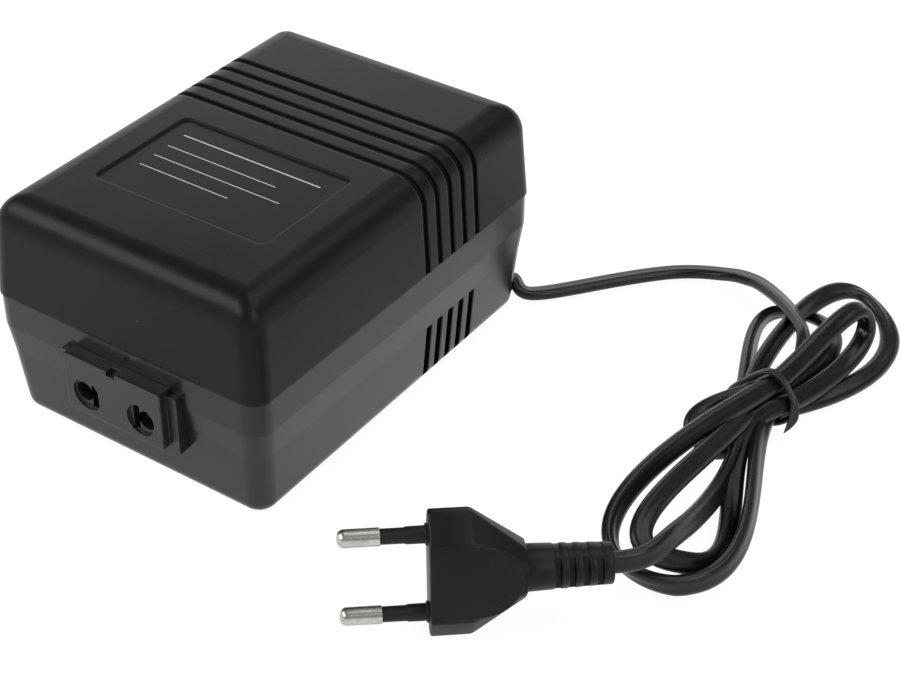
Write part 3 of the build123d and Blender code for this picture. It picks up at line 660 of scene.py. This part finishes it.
def mould_plug_body(shape):
    """The eight-sided body: one outline, extruded twice and then rounded."""
    face = shape.faces.new([shape.verts.new(p) for p in plug_outline(plug_sections[0])])
    rim = list(face.verts)
    for section in plug_sections[1:]:
        grown = bmesh.ops.extrude_edge_only(shape, edges=[
            shape.edges.get((a, b)) for a, b in zip(rim, rim[1:] + rim[:1])
        ])["geom"]
        moved = [v for v in grown if isinstance(v, bmesh.types.BMVert)]
        pairs = {v: next(u for u in moved if (u.co - v.co).length < merge_gap) for v in rim}
        rim = [pairs[v] for v in rim]
        for v, place in zip(rim, plug_outline(section)):
            v.co = place
    shape.faces.new(rim)
    bmesh.ops.recalc_face_normals(shape, faces=shape.faces)
    bevel(shape, list(shape.edges), plug_edge)


def pad_outline(x, y):
    """The pad's outline, from a circle of radius 1."""
    if x > 0:
        return pad_middle + pad_arc_length * x, pad_half_width * y
    along, across = pad_fullness
    back = pad_squared_length * abs(x) ** along
    return pad_middle - back, pad_half_width * math.copysign(abs(y) ** across, y)


def mould_plug_pads(shape):
    """A raised pad on each broad face, with fine grip ribs."""
    for face in (-1, 1):
        disc = add_disc(shape)
        for v in disc:
            v.co = (*pad_outline(v.co.x, v.co.y), face * pad_base)
        raised = set(draw_out(shape, disc, (0, 0, face * pad_rise)))
        bevel(shape, [e for e in shape.edges if raised.issuperset(e.verts)], pad_edge)
        for k in range(rib_count):
            x = rib_start + rib_pitch * k
            half = rib_half_length - rib_shortening * k * k
            low = (x - rib_half_width, -half, face * rib_level - rib_below)
            high = (x + rib_half_width, half, face * rib_level + rib_above)
            add_block(shape, low, high, rib_edge)


def neck_radius_at(x):
    return neck_radius - neck_taper * (x - neck_start) / (neck_end - neck_start)


def ring_end(x, inward):
    """The (along, radius) places of a ring's end face and its rounded edge."""
    radius = neck_radius_at(x)
    return [
        (x, 0), (x, radius - ring_edge), (x + inward * ring_ease, radius - ring_ease),
        (x + inward * ring_edge, radius),
    ]


def mould_plug_neck(shape):
    """The round neck: its rings, its core and a small moulding pip."""
    starts = [neck_start] + [x + neck_groove_width / 2 for x in neck_grooves]
    ends = [x - neck_groove_width / 2 for x in neck_grooves] + [neck_end]
    for a, b in zip(starts, ends):
        spin_profile(shape, ring_end(a, 1) + ring_end(b, -1)[::-1], fine_steps)
    gauge = neck_radius_at(core_gauge)
    core = add_disc(shape)
    for v in core:
        height = max(-core_half_height, min(core_half_height, v.co.y * gauge))
        v.co = (core_start, v.co.x * (gauge - core_depth), height)
    far = draw_out(shape, core, (core_length, 0, 0))
    bmesh.ops.scale(shape, verts=far, vec=(1, neck_radius_at(neck_end) / gauge, 1))
    pip = bmesh.ops.create_uvsphere(shape, u_segments=12, v_segments=8, radius=pip_radius)["verts"]
    bmesh.ops.translate(shape, verts=pip, vec=pip_place)


def make_plug(material):
    shape = bmesh.new()
    mould_plug_body(shape)
    mould_plug_pads(shape)
    mould_plug_neck(shape)
    bmesh.ops.transform(shape, matrix=plug_matrix(), verts=shape.verts)
    plug = make_piece("plug_moulding", shape)
    sharpen(plug, angle=35)
    return fit_piece(plug, material, "plug_plastic", "plug_body")


def sleeve_pins(material):
    shape = bmesh.new()
    for side in (-1, 1):
        sleeve = spin_profile(shape, sleeve_profile)
        bmesh.ops.translate(shape, verts=sleeve, vec=(0, side * pin_offset, 0))
    bmesh.ops.transform(shape, matrix=plug_matrix(), verts=shape.verts)
    sleeves = make_piece("pin_insulation", shape)
    sharpen(sleeves, angle=35)
    return fit_piece(sleeves, material, "pin_sleeve_plastic", "pin_sleeves")


# Plain printed rules in the recess on top: (left, right, y, height) each
label_rules = [
    (-20.5, 20.5, -6.6, 0.34), (-20.5, 12.0, -12.4, 0.22), (-20.5, 17.0, -17.4, 0.22),
    (-20.5, 6.0, -22.4, 0.22),
]
label_floor = 59.5
rule_below = 0.1
rule_above = 0.03


def print_rules(material):
    shape = bmesh.new()
    low, high = label_floor - rule_below, label_floor + rule_above
    for left, right, y, height in label_rules:
        add_block(shape, (left, y - height / 2, low), (right, y + height / 2, high))
    bmesh.ops.scale(shape, vec=(MM, MM, MM), verts=shape.verts)
    rules = make_piece("label_rules", shape, smooth=False)
    fit_piece(rules, material, "case_plastic")


# Finishes: a pair is a plastic's colour and its worn one, a metal's bright and dull, or what a
# pattern blends
black = (0.0045, 0.0047, 0.005, 1)
plug_tone = (0.0035, 0.0035, 0.0037, 1)
dust_tone = grey(0.45)
cord_dust_tone = grey(0.4)
cord_tones = (0.004, 0.0038, 0.0036, 1), (0.009, 0.0086, 0.008, 1)
ink_tones = grey(0.62), grey(0.36)
holder_tones = (0.62, 0.6, 0.55, 1), (0.5, 0.48, 0.42, 1)
bobbin_tones = (0.7, 0.69, 0.64, 1), (0.56, 0.53, 0.46, 1)
glassfibre_tones = (0.68, 0.64, 0.52, 1), (0.5, 0.45, 0.34, 1)
nickel_tones = (0.66, 0.64, 0.6, 1), (0.5, 0.47, 0.42, 1)
zinc_tones = (0.62, 0.63, 0.62, 1), (0.4, 0.4, 0.36, 1)
brass_tones = (0.72, 0.5, 0.2, 1), (0.42, 0.27, 0.1, 1)
tin_tones = (0.7, 0.68, 0.62, 1), (0.5, 0.46, 0.36, 1)
fuse_tones = (0.6, 0.58, 0.55, 1), (0.4, 0.37, 0.33, 1)
sheet_tones = (0.16, 0.155, 0.15, 1), (0.34, 0.33, 0.32, 1)
rust_tone = (0.2, 0.1, 0.05, 1)
# The winding's copper: first the painted shade between its turns, then the copper on their crests
copper_and_painted_shade_tones = (0.2, 0.045, 0.02, 1), (0.72, 0.25, 0.11, 1)
copper_stain = (0.4, 0.11, 0.05, 1)
tape_tones = (0.74, 0.5, 0.06, 1), (0.86, 0.64, 0.12, 1)
tape_edge_tone = (0.5, 0.3, 0.03, 1)
brown_tones = (0.16, 0.06, 0.02, 1), (0.11, 0.04, 0.015, 1)
blue_tones = (0.02, 0.09, 0.34, 1), (0.015, 0.06, 0.24, 1)
sheet_pitch = 0.5
turn_pitch = 0.8
lap_pitch = 9


def moulded(name, colour, worn, roughness, grain, depth, edge, gloss, dust=0.12):
    """Moulded plastic: a fine grain, faint handling marks, paler edges and a little dust."""
    finish = Finish(name, Specular_IOR_Level=gloss)
    rounded = finish.soft_edges(edge)
    patches = finish.mottle(size=14, detail=3)
    fine = finish.mottle(size=grain, detail=3)
    scratches = finish.mottle(size=1.1, stretch=(0.35, 1.6, 1)).between(low=0.66, high=0.78)
    edges = finish.edge_share(rounded)
    specks = finish.specks(spacing=5.5, size=0.13, share=dust)
    tone = finish.blend(patches * 0.5, colour, worn)
    tone = finish.blend(edges * 0.45, tone, worn)
    tone = finish.blend(specks * 0.55, tone, dust_tone)
    rough = roughness + (patches - 0.5) * 0.16 + scratches * 0.05 + edges * 0.08
    rough = rough + (fine - 0.5) * 0.1
    skin = finish.relief(fine, depth, under=rounded)
    return finish.finish(tone, rough, finish.relief(patches, depth=0.02, under=skin))


def metal(name, bright, dull, roughness, size, stretch):
    """Bare metal: tarnish in patches and fine drawn lines."""
    finish = Finish(name, Metallic=1.0)
    patches = finish.mottle(size, detail=4)
    lines = finish.mottle(size=0.25, stretch=stretch)
    tone = finish.blend(patches.between(low=0.35, high=0.75), bright, dull)
    rough = roughness + (patches - 0.5) * 0.2 + (lines - 0.5) * 0.15
    rounded = finish.soft_edges(radius=0.15)
    return finish.finish(tone, rough, finish.relief(lines, depth=0.01, under=rounded))


def sheet_steel():
    """Stacked transformer sheets: the sheets' edges show as fine level lines."""
    finish = Finish("core_sheets", Metallic=0.85)
    rust = finish.mottle(size=6, detail=4).between(low=0.55, high=0.8)
    lines = finish.along("Z").wave(sheet_pitch) * 0.5 + 0.5
    tone = finish.blend(lines * 0.7, *sheet_tones)
    tone = finish.blend(rust * 0.35, tone, rust_tone)
    return finish.finish(tone, 0.42 + rust * 0.25, finish.relief(lines, depth=0.08))


def wound_copper():
    """Enamelled turns laid side by side, with painted shade between them, and a few that stand a
    little proud.
    """
    finish = Finish("copper_turns", Metallic=0.9)
    turns = finish.along("Y").wave(turn_pitch) * 0.5 + 0.5
    uneven = finish.mottle(size=2.4, stretch=(0.2, 1, 0.2))
    # Painted shade: the turns' colour darkens into the valleys between them, where the relief dips
    tone = finish.blend(turns, *copper_and_painted_shade_tones)
    tone = finish.blend(uneven.between(low=0.5, high=0.9) * 0.4, tone, copper_stain)
    height = turns + uneven * 0.5
    return finish.finish(tone, 0.3 + uneven * 0.15, finish.relief(height, depth=0.15))


def yellow_tape():
    """Wrapped polyester tape, with the edges of its laps."""
    finish = Finish("lapped_tape", Specular_IOR_Level=0.6)
    laps = finish.along("Y").wave(lap_pitch).between(low=0.93, high=0.99)
    creases = finish.mottle(size=3, detail=4, stretch=(0.3, 1.5, 0.3))
    tone = finish.blend(creases, *tape_tones)
    tone = finish.blend(laps * 0.5, tone, tape_edge_tone)
    return finish.finish(tone, 0.28 + creases * 0.2, finish.relief(creases + laps, depth=0.1))


def wire_cover(name, colour, deep):
    """Soft extruded insulation, slightly dull where it was handled."""
    finish = Finish(name, Specular_IOR_Level=0.5)
    patches = finish.mottle(size=5, detail=3)
    tone = finish.blend(patches, colour, deep)
    skin = finish.relief(finish.mottle(size=0.4), depth=0.02)
    return finish.finish(tone, 0.38 + patches * 0.15, skin)


def satin_cord():
    """Black satin PVC: a fine skin over slow unevenness, and a little dust."""
    finish = Finish("cord_skin", Specular_IOR_Level=0.38)
    patches = finish.mottle(size=9, detail=3)
    skin = finish.mottle(size=0.5, detail=3)
    specks = finish.specks(spacing=6, size=0.12, share=0.1)
    tone = finish.blend(patches, *cord_tones)
    tone = finish.blend(specks * 0.4, tone, cord_dust_tone)
    rough = 0.3 + (patches - 0.5) * 0.18 + (skin - 0.5) * 0.1
    uneven = finish.relief(patches, depth=0.12)
    return finish.finish(tone, rough, finish.relief(skin, depth=0.03, under=uneven))


def printed_white():
    """Screen-printed ink, a little thin in places."""
    finish = Finish("printed_ink", Specular_IOR_Level=0.3)
    thin = finish.mottle(size=0.6, detail=3)
    tone = finish.blend(thin.between(low=0.55, high=0.85), *ink_tones)
    return finish.finish(tone, 0.55 + thin * 0.1, finish.relief(thin, depth=0.01))


def dress(material, *nodes):
    """Gives CAD nodes a material."""
    for name in nodes:
        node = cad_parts[name]
        if not node.material_slots:
            node.data.materials.append(material)
        for place in node.material_slots:
            place.material = material


case_black = moulded(
    "case_upper", black, grey(0.018),
    roughness=0.33, grain=0.35, depth=0.03, edge=0.7, gloss=0.15,
)
base_black = moulded(
    "case_lower", black, grey(0.02),
    roughness=0.22, grain=0.3, depth=0.012, edge=0.5, gloss=0.45,
)
outlet_black = moulded(
    "outlet_face", black, grey(0.024),
    roughness=0.34, grain=0.3, depth=0.015, edge=0.3, gloss=0.6,
)
plug_black = moulded(
    "plug_skin", plug_tone, grey(0.02),
    roughness=0.38, grain=0.25, depth=0.02, edge=0.4, gloss=0.2, dust=0.2,
)
sleeve_black = moulded(
    "pin_sleeve_skin", black, grey(0.02),
    roughness=0.4, grain=0.4, depth=0.02, edge=0.15, gloss=0.3,
)
rubber_black = moulded(
    "relief_rubber", black, grey(0.018),
    roughness=0.6, grain=0.4, depth=0.03, edge=0.2, gloss=0.25,
)
tie_black = moulded(
    "tie_cover", black, grey(0.03),
    roughness=0.4, grain=0.3, depth=0.02, edge=0.15, gloss=0.4,
)
holder_white = moulded(
    "holder_nylon", *holder_tones,
    roughness=0.45, grain=0.5, depth=0.02, edge=0.3, gloss=0.5,
)
bobbin_white = moulded(
    "bobbin_nylon", *bobbin_tones,
    roughness=0.4, grain=0.5, depth=0.02, edge=0.3, gloss=0.5,
)
glassfibre = moulded(
    "sleeve_glassfibre", *glassfibre_tones,
    roughness=0.6, grain=0.4, depth=0.08, edge=0.1, gloss=0.4,
)
nickel = metal("nickel_plate", *nickel_tones, roughness=0.24, size=2.5, stretch=(3, 3, 0.4))
zinc = metal("zinc_plate", *zinc_tones, roughness=0.32, size=2, stretch=(1, 1, 1))
brass = metal("contact_brass", *brass_tones, roughness=0.3, size=3, stretch=(1, 0.2, 1))
tinned = metal("tinned_lugs", *tin_tones, roughness=0.35, size=2, stretch=(1, 0.3, 1))
fuse_case = metal("fuse_case", *fuse_tones, roughness=0.3, size=3, stretch=(1, 0.3, 1))
brown_cover = wire_cover("wire_brown", *brown_tones)
blue_cover = wire_cover("wire_blue", *blue_tones)
cord_skin = satin_cord()

# The scene
set_camera(
    place=(257.06, -303.18, 296.73), azimuth=34.77, elevation=36.26, roll=0.19,
    lens=77.576, shift=(0.0229, -0.0089),
)
lay_floor()
light_room()
hang_softbox(
    "key", towards=(-0.45, -0.6, 0.66), distance=0.95, size=(0.9, 0.4), power=5.5,
    colour=(0.88, 0.94, 1),
)
hang_softbox(
    "top", towards=(0.3, 0.35, 1), distance=1.1, size=(0.8, 0.8), power=3.5, colour=(1, 1, 1),
)
hang_softbox(
    "rear", towards=(-0.55, 0.75, 0.38), distance=1.2, size=(1.0, 0.4), power=2,
    colour=(1, 1, 1),
)
hang_softbox(
    "side", towards=(1, -0.35, 0.8), distance=1.2, size=(0.5, 0.7), power=3,
    colour=(1, 0.99, 0.97),
)

dress(case_black, "upper_shell")
dress(base_black, "lower_shell")
dress(outlet_black, "outlet_plate")
dress(holder_white, "outlet_contact_holder")
dress(brass, "outlet_contact_left", "outlet_contact_right")
dress(sheet_steel(), "core_e_stack", "core_i_stack")
dress(zinc, "case_screws", "core_screws", "core_washers", "clamp_screws")
dress(bobbin_white, "bobbin", "cord_clamp")
dress(wound_copper(), "common_winding", "series_winding")
dress(yellow_tape(), "winding_tape")
dress(tinned, "bobbin_lugs")
dress(fuse_case, "thermal_fuse")
dress(glassfibre, "fuse_sleeve")
dress(brown_cover, "wire_input_live", "wire_output_live", "wire_fuse_outlet")
dress(blue_cover, "wire_input_neutral", "wire_output_neutral")
dress(cord_skin, "cord_inside")
dress(nickel, "plug_pins")

cord, cord_path = lay_cord(cord_skin)
fit_strain_relief(rubber_black)
tie = wind_tie(tie_black)
plug = make_plug(plug_black)
sleeves = sleeve_pins(sleeve_black)
print_rules(printed_white())
